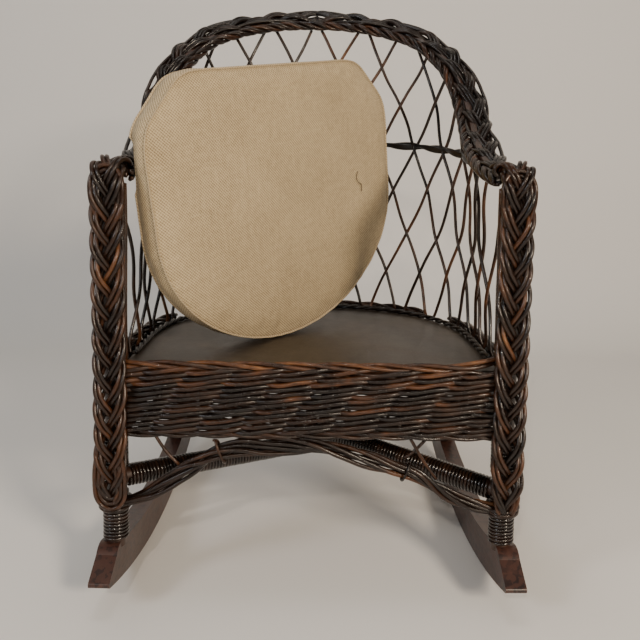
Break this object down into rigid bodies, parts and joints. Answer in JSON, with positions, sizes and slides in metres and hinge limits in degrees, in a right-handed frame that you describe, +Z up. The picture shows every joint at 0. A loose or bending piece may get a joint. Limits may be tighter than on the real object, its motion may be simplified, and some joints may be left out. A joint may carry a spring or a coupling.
{
  "type": "miniature wicker rocking chair",
  "caption": "Small wicker rocking chair with an open lattice back, braided arms, woven apron, arched skirt, bent wood rockers and a loose box cushion.",
  "frame": {"origin": "middle of the chair's footprint on the floor, in its rest position", "axes": "+Z up, +X to the right when the chair is seen from the front, -Y is the way the sitter faces"},
  "size_m": [0.4488, 0.5014, 0.6571],
  "materials": {
    "rocker_wood": "dark stained and varnished, worn edges",
    "frame_wood": "dark stained",
    "board": "plain board",
    "seat_cloth": "worn dark covering, mottled",
    "reed": "dark stained round reed, glossy varnish",
    "foam": "open foam",
    "cushion_cloth": "coarse beige cloth"
  },
  "bodies": {
    "chair": {"apron_front": "reed", "apron_front_stakes": "reed", "apron_rear": "reed", "apron_side_left": "reed", "apron_side_right": "reed", "arm_scroll_left": "reed", "arm_scroll_right": "reed", "border_core": "frame_wood", "border_plait": "reed", "border_rope": "reed", "front_leg_left": "frame_wood", "front_leg_right": "frame_wood", "front_leg_wrap_left": "reed", "front_leg_wrap_right": "reed", "front_rail": "frame_wood", "mid_band": "reed", "post_plait_left": "reed", "post_plait_right": "reed", "rear_leg_left": "frame_wood", "rear_leg_right": "frame_wood", "rear_leg_wrap_left": "reed", "rear_leg_wrap_right": "reed", "rocker_left": "rocker_wood", "rocker_right": "rocker_wood", "seat_board": "board", "seat_cover": "seat_cloth", "seat_edge_twist": "reed", "seat_hoop": "frame_wood", "skirt_arch": "reed", "skirt_stays": "reed", "stakes_leaning_left": "reed", "stakes_leaning_right": "reed", "stretcher_left_front": "frame_wood", "stretcher_right_front": "frame_wood", "stretcher_wrap_left_front": "reed", "stretcher_wrap_right_front": "reed"},
    "cushion": {"cushion_back_panel": "cushion_cloth", "cushion_boxing": "cushion_cloth", "cushion_foam": "foam", "cushion_front_panel": "cushion_cloth"}
  },
  "joints": [
    {"name": "cushion_lift", "type": "slide", "parent": "chair", "child": "cushion", "axis": [0.1799, -0.8696, 0.4598], "range_m": [0, 0.45]}
  ]
}
